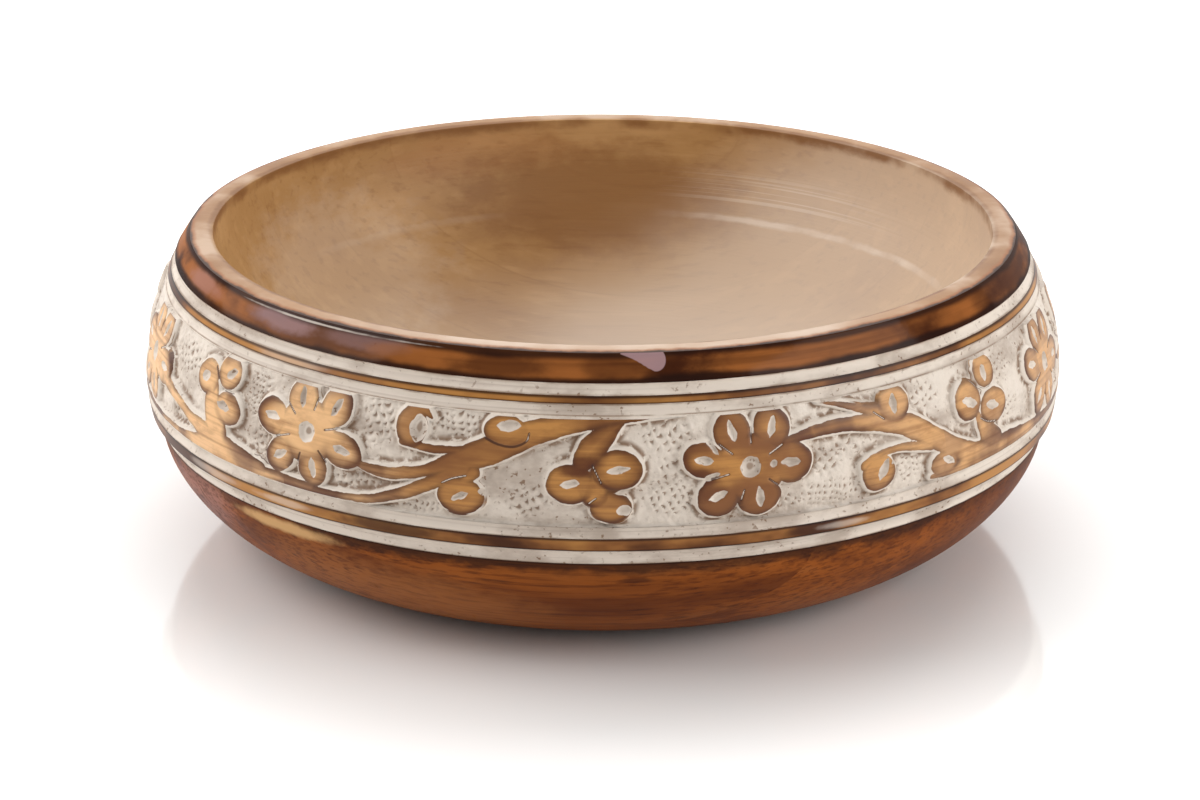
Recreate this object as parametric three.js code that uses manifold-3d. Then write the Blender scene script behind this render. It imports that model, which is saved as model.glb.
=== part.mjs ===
// Wooden serving bowl, turned on a lathe from a blank of boards glued face to face,
// with a relief-carved frieze of flowers and a running vine round its belly.
// Millimetres, +Z up. The origin is the middle of the foot and the front faces -Y.
import * as THREE from "three";
import { mergeVertices } from "three/addons/utils/BufferGeometryUtils.js";
import Module from "manifold-3d";

const wasm = await Module();
wasm.setup();

// Turned outside, from the foot up: the bands are stacked, so the height is their sum
const bellyRadius = 152.2;
const bellyAboveFriezeFoot = 4.5;
const lipRadius = 136.2;
const footRadius = 98;
const baseHeight = 39.4;
const baseFullness = 1.7;
const baseSetBack = 2;
const footCoveWidth = 5.4;
const lowerFilletWidth = 4.1;
const lowerCoveWidth = 3.9;
const friezeHeight = 32.3;
const upperCoveWidth = 3.5;
const upperFilletWidth = 2.2;
const rimCoveWidth = 3.5;
const rimBandWidth = 7.7;
const filletSetBack = 0.6;
const coveDepth = 0.8;

// Hollowed inside
const lipWidth = 7.6;
const lipCrown = 0.6;
const floorThickness = 14;
const hollowFullness = 1.9;

// Relief carving
const reliefDepth = 1.8;
const reliefRoot = 3;
const flowerHeight = 17.3;
const flowerLength = 41;
const flowerWidth = 31.5;
const flowerTurn = 50;
const flowerPetals = 6;
const petalNotch = 0.58;
const trefoilLobes = 3;
const trefoilNotch = 0.4;
const lobeRoundness = 0.5;

// Glued blank
const boardCount = 11;
const blankOffset = -1.6;
const blankTurn = 5.7;
const glueGap = 0.3;

// Facets
const turnSteps = 56;
const baseSteps = 5;
const hollowSteps = 7;
const friezeSteps = 2;
const coveSteps = 2;
const lipSteps = 2;
const petalPoints = 4;
const trefoilPoints = 6;
const budPoints = 8;
const stemSteps = 2;
const wedgeReach = 0.05;

// Heights of the band edges
const footCoveTop = baseHeight + footCoveWidth;
const lowerFilletTop = footCoveTop + lowerFilletWidth;
const friezeFoot = lowerFilletTop + lowerCoveWidth;
const friezeTop = friezeFoot + friezeHeight;
const upperFilletFoot = friezeTop + upperCoveWidth;
const upperFilletTop = upperFilletFoot + upperFilletWidth;
const rimBandFoot = upperFilletTop + rimCoveWidth;
const lipEdge = rimBandFoot + rimBandWidth;
const bellyHeight = friezeFoot + bellyAboveFriezeFoot;
const blankReach = bellyRadius + lipEdge;

const radians = THREE.MathUtils.degToRad;
const quarterTurn = radians(90);

// Rises from 0 to 1 and back as t goes from 0 to 1
function bow(t) {
  return 4 * t * (1 - t);
}

// Radius of the swelling outside before any groove is cut
function skinRadius(z) {
  const t = (z - bellyHeight) / (lipEdge - bellyHeight);
  return bellyRadius - (bellyRadius - lipRadius) * t * t;
}

// Profile points of one band, from its lower to its upper edge, at depths below the skin
function band(low, high, depthLow, depthHigh, hollow, steps) {
  const points = [];
  for (let i = 0; i < steps; i += 1) {
    const t = i / steps;
    const z = THREE.MathUtils.lerp(low, high, t);
    const depth = THREE.MathUtils.lerp(depthLow, depthHigh, t) + hollow * bow(t);
    points.push(new THREE.Vector2(skinRadius(z) - depth, z));
  }
  return points;
}

// Quarter of a superellipse from the outer edge (angle 0) to the axis side (angle 90)
function superellipse(width, height, fullness, angle) {
  const power = 2 / fullness;
  return new THREE.Vector2(width * Math.cos(angle) ** power, height * Math.sin(angle) ** power);
}

function baseProfile() {
  const edge = skinRadius(baseHeight) - baseSetBack;
  const points = [new THREE.Vector2(0, 0), new THREE.Vector2(footRadius, 0)];
  for (let i = baseSteps - 1; i > 0; i -= 1) {
    const p = superellipse(edge - footRadius, baseHeight, baseFullness, quarterTurn * i / baseSteps);
    points.push(new THREE.Vector2(footRadius + p.x, baseHeight - p.y));
  }
  return points;
}

function bandProfile() {
  return [
    ...band(baseHeight, footCoveTop, baseSetBack, 0, coveDepth, coveSteps),
    ...band(footCoveTop, lowerFilletTop, 0, 0, 0, 1),
    ...band(lowerFilletTop, friezeFoot, 0, reliefDepth, coveDepth, coveSteps),
    ...band(friezeFoot, friezeTop, reliefDepth, reliefDepth, 0, friezeSteps),
    ...band(friezeTop, upperFilletFoot, reliefDepth, filletSetBack, coveDepth, coveSteps),
    ...band(upperFilletFoot, upperFilletTop, filletSetBack, filletSetBack, 0, 1),
    ...band(upperFilletTop, rimBandFoot, filletSetBack, 0, coveDepth, coveSteps),
    ...band(rimBandFoot, lipEdge, 0, 0, 0, 1),
  ];
}

// The lip is a low crown, and the hollow falls from its inner edge to the middle of the floor
function insideProfile() {
  const points = [];
  for (let i = 0; i < lipSteps; i += 1) {
    const t = i / lipSteps;
    points.push(new THREE.Vector2(lipRadius - lipWidth * t, lipEdge + lipCrown * bow(t)));
  }
  const hollowRadius = lipRadius - lipWidth;
  const hollowDepth = lipEdge - floorThickness;
  for (let i = 0; i < hollowSteps; i += 1) {
    const p = superellipse(hollowRadius, hollowDepth, hollowFullness, quarterTurn * i / hollowSteps);
    points.push(new THREE.Vector2(p.x, lipEdge - p.y));
  }
  points.push(new THREE.Vector2(0, floorThickness));
  return points;
}

function toSolid(geometry) {
  const bare = geometry.clone();
  bare.deleteAttribute("normal");
  bare.deleteAttribute("uv");
  const merged = mergeVertices(bare);
  const vertProperties = Float32Array.from(merged.attributes.position.array);
  const triVerts = Uint32Array.from(merged.index.array);
  return new wasm.Manifold(new wasm.Mesh({ numProp: 3, vertProperties, triVerts }));
}

function toGeometry(solid) {
  const mesh = solid.getMesh();
  const geometry = new THREE.BufferGeometry();
  geometry.setAttribute("position", new THREE.BufferAttribute(mesh.vertProperties, 3));
  geometry.setIndex(new THREE.BufferAttribute(mesh.triVerts, 1));
  geometry.computeVertexNormals();
  return geometry;
}

// A solid turned about the Z axis from a profile of radius and height
function turned(profile) {
  const geometry = new THREE.LatheGeometry(profile, turnSteps);
  geometry.rotateX(quarterTurn);
  return toSolid(geometry);
}

// Frieze drawing: x runs round the belly in millimetres, y up from the foot of the frieze
function budOutline(x, y, length, width) {
  const curve = new THREE.EllipseCurve(x, y, length / 2, width / 2);
  return curve.getPoints(budPoints).slice(0, budPoints);
}

// Round lobes about a middle, as in a flower or a trefoil, with a tip at the angle turn
function lobedOutline(x, y, length, width, turn, lobes, notch, lobePoints) {
  const points = [];
  for (let i = 0; i < lobes * lobePoints; i += 1) {
    const swell = Math.abs(Math.cos(Math.PI * i / lobePoints)) ** lobeRoundness;
    const size = THREE.MathUtils.lerp(notch, 1, swell) / 2;
    const angle = radians(turn + 360 * i / (lobes * lobePoints));
    points.push(new THREE.Vector2(x + length * size * Math.cos(angle), y + width * size * Math.sin(angle)));
  }
  return points;
}

function trefoilOutline(x, y, length, width, turn) {
  return lobedOutline(x, y, length, width, turn, trefoilLobes, trefoilNotch, trefoilPoints);
}

// A stem that follows points of x, y and width
function stemOutline(points) {
  const curve = new THREE.CatmullRomCurve3(points.map((p) => new THREE.Vector3(...p)));
  const steps = stemSteps * (points.length - 1);
  const left = [];
  const right = [];
  for (let i = 0; i <= steps; i += 1) {
    const p = curve.getPoint(i / steps);
    const along = curve.getTangent(i / steps);
    const side = new THREE.Vector2(-along.y, along.x).setLength(p.z / 2);
    left.push(new THREE.Vector2(p.x + side.x, p.y + side.y));
    right.unshift(new THREE.Vector2(p.x - side.x, p.y - side.y));
  }
  return [...left, ...right];
}

const flower = lobedOutline(0, flowerHeight, flowerLength, flowerWidth, flowerTurn,
  flowerPetals, petalNotch, petalPoints);

// Vine that rises to the top border and lets a trefoil hang from it
const hangingVine = [
  stemOutline([[16, 12, 3], [36, 13, 6], [60, 21, 9], [80, 29, 8], [118, 31.5, 2]]),
  stemOutline([[5, 1.5, 4], [28, 3, 4], [48, 13.5, 5]]),
  stemOutline([[36, 21.5, 3], [57, 21.5, 4]]),
  budOutline(37.7, 26, 11.5, 12),
  budOutline(67, 28, 14, 8),
  budOutline(54, 8, 14, 13),
  stemOutline([[103, 30.5, 3], [91, 25, 5], [92, 15, 6]]),
  trefoilOutline(94.5, 13, 32, 27, 45),
];

// Vine that falls to the foot border and carries a standing trefoil
const standingVine = [
  stemOutline([[13, 23, 3], [34, 24, 5], [60, 15, 9], [84, 6, 8], [142, 1.6, 3]]),
  stemOutline([[24, 31.5, 2], [41, 28.5, 3], [54, 18, 5]]),
  budOutline(51.6, 26.8, 12.5, 10.5),
  stemOutline([[43, 11, 3], [64, 12.5, 4]]),
  budOutline(43.7, 8, 12.5, 12),
  trefoilOutline(91.5, 20.5, 27, 26, 67),
  stemOutline([[91, 20, 5], [90, 11, 6], [104, 3, 6]]),
];

// Shorter vine where the pattern closes on itself
const closingVine = [
  stemOutline([[10, 17, 5], [32, 14.5, 7], [58, 7.5, 8], [91, 2, 3]]),
  stemOutline([[0, 2.5, 3], [44, 1.6, 3], [98, 1.6, 3]]),
  trefoilOutline(54.5, 21.5, 27, 24, 75),
  stemOutline([[53, 22, 8], [55, 8, 12]]),
];

// Flowers by azimuth from the front, each with the vine that leads on to the next
const friezeUnits = [
  { azimuth: -73.5, vine: closingVine },
  { azimuth: -36.5, vine: hangingVine },
  { azimuth: 17, vine: standingVine },
  { azimuth: 70.5, vine: hangingVine },
  { azimuth: 124, vine: standingVine },
  { azimuth: 177.5, vine: hangingVine },
  { azimuth: 231.5, vine: standingVine },
];

// Stands an outline on the belly as a wedge whose walls all aim at the middle of the bowl
function carvedWedge(outline, azimuth) {
  const settings = { depth: 1, steps: 1, bevelEnabled: false };
  const geometry = new THREE.ExtrudeGeometry(new THREE.Shape(outline), settings);
  const position = geometry.attributes.position;
  const middle = new THREE.Vector3(0, 0, bellyHeight);
  const point = new THREE.Vector3();
  for (let i = 0; i < position.count; i += 1) {
    const angle = radians(azimuth) + position.getX(i) / bellyRadius;
    const z = friezeFoot + position.getY(i);
    const reach = position.getZ(i) > 0 ? 1 + wedgeReach : 1 - wedgeReach;
    const radius = skinRadius(z);
    point.set(radius * Math.sin(angle), -radius * Math.cos(angle), z);
    point.sub(middle).multiplyScalar(reach).add(middle);
    position.setXYZ(i, point.x, point.y, point.z);
  }
  return toSolid(geometry);
}

function carvedRelief() {
  const wedges = [];
  for (const unit of friezeUnits) {
    for (const outline of [flower, ...unit.vine]) {
      wedges.push(carvedWedge(outline, unit.azimuth));
    }
  }
  const inner = skinRadius(friezeTop) - reliefDepth - reliefRoot;
  const ring = turned([
    new THREE.Vector2(inner, friezeFoot),
    ...band(friezeFoot, friezeTop, 0, 0, 0, friezeSteps),
    new THREE.Vector2(skinRadius(friezeTop), friezeTop),
    new THREE.Vector2(inner, friezeTop),
    new THREE.Vector2(inner, friezeFoot),
  ]);
  return wasm.Manifold.union(wedges).intersect(ring);
}

// Joint planes, as distances from the axis along the direction in which the boards are stacked
function jointPlanes() {
  const boardThickness = 2 * bellyRadius / boardCount;
  const planes = [];
  for (let i = 1; i < boardCount; i += 1) {
    planes.push(i * boardThickness - bellyRadius + blankOffset);
  }
  return planes;
}

// One board before turning, wider and taller than the bowl
function boardBlank(front, back) {
  const geometry = new THREE.BoxGeometry(2 * blankReach, back - front, 2 * blankReach);
  geometry.translate(0, (front + back) / 2, 0);
  geometry.rotateZ(radians(-blankTurn));
  return toSolid(geometry);
}

// Without the splinters of relief that a joint plane cuts off from the wood behind them
function withoutSplinters(solid) {
  const bodies = solid.decompose();
  bodies.sort((a, b) => b.volume() - a.volume());
  return bodies[0];
}

const bowl = turned([...baseProfile(), ...bandProfile(), ...insideProfile()]).add(carvedRelief());
const planes = jointPlanes();
const fronts = [-blankReach, ...planes];
const backs = [...planes, blankReach];
const group = new THREE.Group();

fronts.forEach((front, index) => {
  const blank = boardBlank(front + glueGap / 2, backs[index] - glueGap / 2);
  const wood = new THREE.MeshStandardMaterial({ color: 0xb98a5a, roughness: 0.5, metalness: 0 });
  const board = new THREE.Mesh(toGeometry(withoutSplinters(bowl.intersect(blank))), wood);
  board.name = `board_${String(index + 1).padStart(2, "0")}`;
  group.add(board);
});

export default group;
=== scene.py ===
"""Carved wooden serving bowl, turned from glued boards and finished with stain, lime wash and lacquer."""

import itertools
import math
from functools import partial

import bpy
import numpy as np
from bpy.props import FloatProperty, FloatVectorProperty, IntProperty, PointerProperty
from mathutils import Matrix, Vector


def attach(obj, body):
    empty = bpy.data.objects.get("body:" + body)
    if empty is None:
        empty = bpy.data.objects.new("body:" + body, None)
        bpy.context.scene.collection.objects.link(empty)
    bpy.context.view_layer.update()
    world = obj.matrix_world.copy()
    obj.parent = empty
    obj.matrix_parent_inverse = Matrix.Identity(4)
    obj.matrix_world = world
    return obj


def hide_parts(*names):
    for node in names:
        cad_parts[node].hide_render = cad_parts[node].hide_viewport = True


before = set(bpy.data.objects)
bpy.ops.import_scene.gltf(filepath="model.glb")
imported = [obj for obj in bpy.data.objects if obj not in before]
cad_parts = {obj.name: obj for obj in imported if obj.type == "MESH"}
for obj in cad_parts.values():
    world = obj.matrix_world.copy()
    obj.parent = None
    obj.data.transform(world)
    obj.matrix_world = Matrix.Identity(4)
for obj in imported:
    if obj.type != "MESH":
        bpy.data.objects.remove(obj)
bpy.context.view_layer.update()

bl_info = {
    "name": "Carved wooden serving bowl",
    "version": (1, 0, 0),
    "blender": (4, 5, 0),
    "location": "3D View > Sidebar > Bowl",
    "description": "Turns, carves, finishes and lights a serving bowl of glued boards",
    "category": "Object",
}

MM = 0.001
FAR_AWAY = 50.0
BASE_STEPS, LIP_STEPS, HOLLOW_STEPS = 30, 8, 32


def length(name, description, millimetres):
    """A length that the user can change."""
    return FloatProperty(name=name, description=description, default=millimetres * MM, unit="LENGTH",
                         precision=5)


def share(name, description, value):
    """A plain number that the user can change."""
    return FloatProperty(name=name, description=description, default=value)


def angle(name, description, degrees):
    """An angle that the user can change."""
    return FloatProperty(name=name, description=description, default=math.radians(degrees), subtype="ANGLE")


def linear(hex_colour):
    """Linear colour with alpha of an sRGB hex value."""
    steps = [int(hex_colour[i:i + 2], 16) / 255 for i in (1, 3, 5)]
    return (*[c / 12.92 if c <= 0.04045 else ((c + 0.055) / 1.055) ** 2.4 for c in steps], 1)


def colour(name, description, hex_colour):
    """A colour that the user can change."""
    return FloatVectorProperty(name=name, description=description, subtype="COLOR", size=4, min=0, max=1,
                               default=linear(hex_colour))


class BowlTurning(bpy.types.PropertyGroup):
    """Sizes of the turned bowl"""

    belly_radius: length("Belly radius", "Half the greatest width", 152.2)
    belly_rise: length("Belly rise", "Height of the belly above the foot of the frieze", 4.5)
    lip_radius: length("Lip radius", "Outer radius of the lip", 136.2)
    foot_radius: length("Foot radius", "Radius of the flat foot", 98)
    base_height: length("Base height", "Height of the plain base", 39.4)
    base_set_back: length("Base set-back", "How far the base lies behind the skin at its top", 2)
    foot_cove: length("Foot cove", "Width of the lime-washed groove above the base", 5.4)
    lower_fillet: length("Lower fillet", "Width of the stained band under the frieze", 4.1)
    lower_cove: length("Lower cove", "Width of the lime-washed groove under the frieze", 3.9)
    frieze: length("Frieze", "Height of the carved frieze", 32.3)
    upper_cove: length("Upper cove", "Width of the lime-washed groove over the frieze", 3.5)
    upper_fillet: length("Upper fillet", "Width of the stained band over the frieze", 2.2)
    rim_cove: length("Rim cove", "Width of the lime-washed groove under the rim", 3.5)
    rim_band: length("Rim band", "Height of the scorched band under the lip", 7.7)
    fillet_set_back: length("Fillet set-back", "How far the upper fillet lies behind the skin", 0.6)
    cove_depth: length("Cove depth", "Depth of a groove at its middle", 1.1)
    cove_end: length("Cove end", "Depth at which the lower cove meets the frieze", 0.9)
    lip_width: length("Lip width", "Width of the lip", 7.6)
    lip_crown: length("Lip crown", "Rise of the lip at its middle", 0.6)
    floor_thickness: length("Floor thickness", "Wood under the middle of the hollow", 14)
    arris: length("Arris", "Rounding of the edges between the bands", 0.22)
    row: length("Carving row", "Height of one row of faces in the frieze", 0.4)
    base_fullness: share("Base fullness", "Power of the curve of the base", 1.7)
    hollow_fullness: share("Hollow fullness", "Power of the curve of the hollow", 1.9)
    turns: IntProperty(name="Turn steps", description="Faces round the bowl", default=2200)


class BowlBoards(bpy.types.PropertyGroup):
    """How the blank was glued"""

    count: IntProperty(name="Boards", description="Boards in the blank", default=11)
    offset: length("Blank offset", "How far the blank lies off the axis", -1.6)
    turn: angle("Blank turn", "Turn of the boards from left to right", 5.7)
    seam: length("Seam", "Gap in a glue line", 0.03)


class BowlCarving(bpy.types.PropertyGroup):
    """How the frieze is cut"""

    relief: length("Relief", "Depth of the ground", 1.8)
    wall: length("Wall", "Width of the sloping wall round the relief", 1)
    cut: length("Cut", "Depth of the slits in the petals", 1.2)
    gouge: length("Gouge", "Depth of the gouge marks in the ground", 0.85)
    line: length("Scored line", "Depth of the scored lines", 0.35)
    rounding: length("Rounding", "Rounding of the edges of the relief", 0.25)


class BowlFinish(bpy.types.PropertyGroup):
    """Colours of the finishes, some also used for painted light, sheen and shade"""

    pale_wood: colour("Pale wood", "Lacquered wood inside", "#a37a49")
    # Also used for painted shade on the back wall of the hollow and at the sides of the lip.
    dark_figure_and_shade: colour("Dark figure and shade", "Darker figure in the pale wood, and painted shade inside", "#7a4e25")
    light_figure: colour("Light figure", "Lighter figure in the pale wood", "#ba9160")
    lip_wood: colour("Lip", "Sanded and lacquered lip", "#a87f58")
    scorch: colour("Scorch", "Scorched edges", "#24110b")
    stain_dark: colour("Dark stain", "Dark stain of the rim band", "#3f1d0b")
    stain_amber: colour("Amber stain", "Worn places in the stain", "#96592a")
    stain_base: colour("Base stain", "Stain of the base", "#95501a")
    stain_red: colour("Red stain", "Darker stain of the base", "#572609")
    tan: colour("Tan", "Pale places of the base", "#cba06c")
    motif: colour("Motif", "Tops of the relief", "#bf8645")
    # Painted light: lighter tops of the relief where the light falls on them.
    motif_painted_light: colour("Lit motif", "Painted light on the relief tops at the sides", "#edbd88")
    motif_dark: colour("Dark motif", "Darker places of the relief", "#85532a")
    lime: colour("Lime wash", "White of the grooves and the ground", "#e0d3c5")
    lime_grey: colour("Grey lime wash", "Thin places in the white", "#b09f90")
    # Also used for painted shade near the relief, in the gouge hollows and in the dimples.
    bare_wood_and_shade: colour("Bare wood and shade", "Brown that shows through the white, and painted shade in the carved ground", "#7c5d42")
    # Colour of the pale teardrop on the rim, and of painted haze and sheen on the rim and the base.
    pale_mark: colour("Pale mark", "Pale pinkish teardrop on the rim, and painted haze and sheen on the lacquer", "#ab8a8c")
    # Painted sheen and highlights on the lacquer, inside and out; also the pale blotches of the lip.
    pale_blotch_and_sheen: colour("Pale blotch and sheen", "Pale blotches on the lip, and painted sheen and highlights on the lacquer", "#ecdfd1")


def band_edges(size):
    """Heights of the band edges from the top of the base to the edge of the lip."""
    widths = (size.base_height, size.foot_cove, size.lower_fillet, size.lower_cove, size.frieze,
              size.upper_cove, size.upper_fillet, size.rim_cove, size.rim_band)
    return list(itertools.accumulate(widths))


def skin_radius(z, size):
    """Radius of the swelling outside before any groove is cut."""
    edges = band_edges(size)
    belly = edges[3] + size.belly_rise
    t = (z - belly) / (edges[8] - belly)
    return size.belly_radius - (size.belly_radius - size.lip_radius) * t * t


def quarter_curve(width, height, fullness, steps):
    """Points of a quarter superellipse, from its outer end to its lower end."""
    power = 2 / fullness
    turns = [math.pi / 2 * i / steps for i in range(steps + 1)]
    return [(width * max(math.cos(a), 0) ** power, height * math.sin(a) ** power) for a in turns]


def groove(low, high, depth_low, depth_high, hollow, rows, size):
    """Rows of one band from its lower edge up, its first point marked as an arris."""
    points = []
    for i in range(rows):
        t = i / rows
        z = low + (high - low) * t
        depth = depth_low + (depth_high - depth_low) * t + hollow * 4 * t * (1 - t)
        points.append((skin_radius(z, size) - depth, z, i == 0))
    return points


def outside_points(size):
    """Profile from the middle of the foot to the edge of the lip, with the arrises marked.

    Each band has its lower and upper edge, the depth at both, the depth of its hollow and its rows of faces.
    """
    top, cove, fillet, foot, frieze, upper, band, rim, lip = band_edges(size)
    edge = skin_radius(top, size) - size.base_set_back
    curve = quarter_curve(edge - size.foot_radius, size.base_height, size.base_fullness, BASE_STEPS)
    base = [(size.foot_radius + w, top - h, False) for w, h in reversed(curve[1:])]
    back, hollow = size.fillet_set_back, size.cove_depth
    cove_start = bpy.context.scene.bowl_carving.relief * 0.85
    rows = round(size.frieze / size.row)
    return [
        (0, 0, False), (size.foot_radius * 0.6, 0, False), (size.foot_radius - 4 * MM, 0, False),
        *base,
        *groove(top, cove, size.base_set_back, 0, hollow, 9, size),
        *groove(cove, fillet, 0, 0, 0, 4, size),
        *groove(fillet, foot, 0, size.cove_end, hollow * 0.5, 7, size),
        *[(r, z, False) for r, z, _ in groove(foot, frieze, 0, 0, 0, rows, size)],
        *groove(frieze, upper, cove_start, back, hollow * 0.6, 7, size),
        *groove(upper, band, back, back, 0, 3, size),
        *groove(band, rim, back, 0, hollow, 7, size),
        *groove(rim, lip, 0, 0, 0, 12, size),
    ]


def inside_points(size):
    """Profile over the lip and down the hollow to the middle of the floor."""
    lip = band_edges(size)[8]
    hollow = size.lip_radius - size.lip_width
    crown = []
    for i in range(LIP_STEPS + 1):
        t = i / LIP_STEPS
        rise = size.lip_crown * 4 * t * (1 - t)
        crown.append((size.lip_radius - size.lip_width * t, lip + rise, i in (0, LIP_STEPS)))
    curve = quarter_curve(hollow, lip - size.floor_thickness, size.hollow_fullness, HOLLOW_STEPS)
    return crown + [(w, lip - h, False) for w, h in curve[1:]]


def soften(points, rounding):
    """Rounds the marked corners with a few short steps, kept apart from their neighbours by close rows."""
    done = []
    for i, (r, z, marked) in enumerate(points):
        if not marked or i in (0, len(points) - 1):
            done.append(Vector((r, 0, z)))
            continue
        before, here, after = [Vector((r, 0, z)) for r, z, _ in points[i - 1:i + 2]]
        reach = min(rounding, (before - here).length * 0.3, (after - here).length * 0.3)
        back, onward = (before - here).normalized(), (after - here).normalized()
        start, end = here + back * reach, here + onward * reach
        done.append(here + back * reach * 1.8)
        for t in (0, 1 / 3, 2 / 3, 1):
            done.append(start * (1 - t) ** 2 + here * 2 * t * (1 - t) + end * t * t)
        done.append(here + onward * reach * 1.8)
    return done


def polar(points):
    """Distance from the axis of each point of an array."""
    return np.hypot(points[:, 0], points[:, 1])


def read_points(mesh):
    """Vertex places of a mesh as an array."""
    places = np.empty(len(mesh.vertices) * 3)
    mesh.vertices.foreach_get("co", places)
    return places.reshape(-1, 3)


def mode(name):
    """Go into a mode of the active object."""
    bpy.ops.object.mode_set(mode=name)


class BOWL_OT_turn(bpy.types.Operator):
    """Draw the profile and turn the bowl from it"""

    bl_idname = "bowl.turn"
    bl_label = "Turn the bowl"

    def execute(self, context):
        size = context.scene.bowl_turning
        line = soften(outside_points(size) + inside_points(size), size.arris)
        bpy.ops.object.select_all(action="DESELECT")
        bpy.ops.mesh.primitive_plane_add(size=10 * MM)
        bowl = context.object
        bowl.name = "turned_bowl"
        mode("EDIT")
        bpy.ops.mesh.select_all(action="SELECT")
        bpy.ops.mesh.merge(type="CENTER")
        bpy.ops.transform.translate(value=line[0])
        for start, end in zip(line, line[1:]):
            bpy.ops.mesh.extrude_region_move(TRANSFORM_OT_translate={"value": end - start})
        mode("OBJECT")
        lathe = bowl.modifiers.new("lathe", "SCREW")
        lathe.axis, lathe.angle = "Z", 2 * math.pi
        lathe.steps = lathe.render_steps = size.turns
        bpy.ops.object.modifier_apply(modifier=lathe.name)
        mode("EDIT")
        bpy.ops.mesh.select_all(action="SELECT")
        bpy.ops.mesh.remove_doubles(threshold=0.002 * MM)
        bpy.ops.mesh.normals_make_consistent(inside=False)
        bpy.ops.mesh.faces_shade_smooth()
        mode("OBJECT")
        if len(bowl.data.polygons) < size.turns * len(line) * 0.9:
            raise RuntimeError("the profile was not turned")
        return {"FINISHED"}


# Azimuths are in degrees from the flower that starts a unit, heights are in millimetres above the foot of the
# bowl, sizes are in millimetres and turns in degrees. Petals: direction, reach, half length, half width, turn
# of the slit. Strands: azimuth, height, width. Buds: azimuth, height, half width, half height. Cuts: azimuth,
# height, length, width, turn. Lines: azimuth, height. Patches of gouge marks: azimuth, height, half width, half
# height, turn, pitch. Units: azimuth and height of the flower, its petals, the vine that leads on from it.

PETALS_FIRST = [(172.5, 14.9, 7, 5.9, 175), (110, 10.2, 5.9, 6.3, 98), (42, 13.7, 6.3, 6, 58),
                (-12, 14.1, 7.8, 5.6, -12), (-73, 10.9, 6, 5.9, -80), (-138, 13.4, 6.8, 5.4, 30)]
PETALS_SECOND = [(168, 14.8, 6.9, 5.5, 172), (116, 11.9, 6.2, 6.2, 105), (55, 13.4, 6, 6.4, 70),
                 (1, 12.9, 7.5, 6.4, -5), (-74, 9.8, 5.7, 6.8, 95), (-143, 13, 6.9, 6.4, 20)]
PETALS_PLAIN = [(168, 13.5, 6.9, 5.6, 170), (112, 10.7, 5.8, 6, 100), (50, 12.4, 6.2, 6, 60),
                (-5, 13.5, 7.2, 5.8, -5), (-74, 10.3, 5.7, 6, 95), (-138, 12.5, 6.7, 5.8, 35)]

HANGING_VINE = {
    "strands": [
        [(7.5, 65.6, 2.2), (9.5, 64.8, 3.8), (12.5, 64.8, 4.4), (16.5, 67.4, 4.4), (19.5, 70.6, 7),
         (23.5, 74.6, 9), (28, 80, 8), (33, 83.1, 5.6), (39, 84.8, 3), (46, 85.6, 1)],
        [(1, 54, 3), (5.5, 54.4, 3), (8.5, 55.1, 3.4), (11.5, 57.3, 4), (14.5, 60.4, 4.6), (17.5, 64.4, 5),
         (20.5, 69, 7)],
        [(13, 74.6, 3), (17, 73.6, 3), (21.5, 74.5, 3)], [(13.6, 84.4, 3), (15.4, 84, 3.2), (16.4, 82.2, 1.6)],
        [(20.5, 64.5, 4), (21.8, 68, 5)],
        [(38.7, 83.6, 2.4), (36.9, 80.3, 6.5), (35.3, 76.4, 8.6), (34.2, 72.5, 6)]],
    "buds": [
        (14, 79.3, 5.5, 6.3), (25.3, 80.8, 7, 4.7), (20.4, 60.4, 7.6, 6.1), (32.9, 66.1, 7.6, 6.3),
        (38.2, 70.4, 7.9, 6.2), (37.4, 59.2, 6.4, 5.2), (35.6, 64, 4.5, 5)],
    "cuts": [
        (14.9, 79, 8, 6, 84), (25.7, 82.1, 8.6, 3.2, 4), (20.4, 60.5, 6.4, 2.4, 25),
        (23.2, 62.6, 4.6, 2.2, 12), (32.9, 66.2, 7, 2.4, 6), (38.3, 70.4, 7.2, 2.6, 10), (39, 58.2, 5, 3.6, 0),
        (39.8, 64, 11, 2.2, 4)],
    "lines": [
        [(23, 78.4), (24.5, 76.8), (26.3, 76.3), (27.8, 78), (28.1, 80.4)],
        [(35.4, 71.8), (36, 68.6), (36.4, 66.5)], [(18.2, 64), (19.4, 65.6), (21, 66.8)],
        [(35, 60.4), (35.8, 62)]],
    "gouged": [
        (9.5, 79, 8, 8.5, -62, 3), (7.5, 60, 12, 5, -70, 2.6), (19.5, 81, 9, 5, -80, 2.4),
        (28, 60, 8.5, 6.5, -55, 2.8), (44, 79.5, 10, 6, -60, 3), (44.3, 61, 9, 7.5, 40, 2.6),
        (45, 70, 7, 5, -60, 3.2), (15, 56, 10, 3, 0, 2.2)],
}
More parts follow.
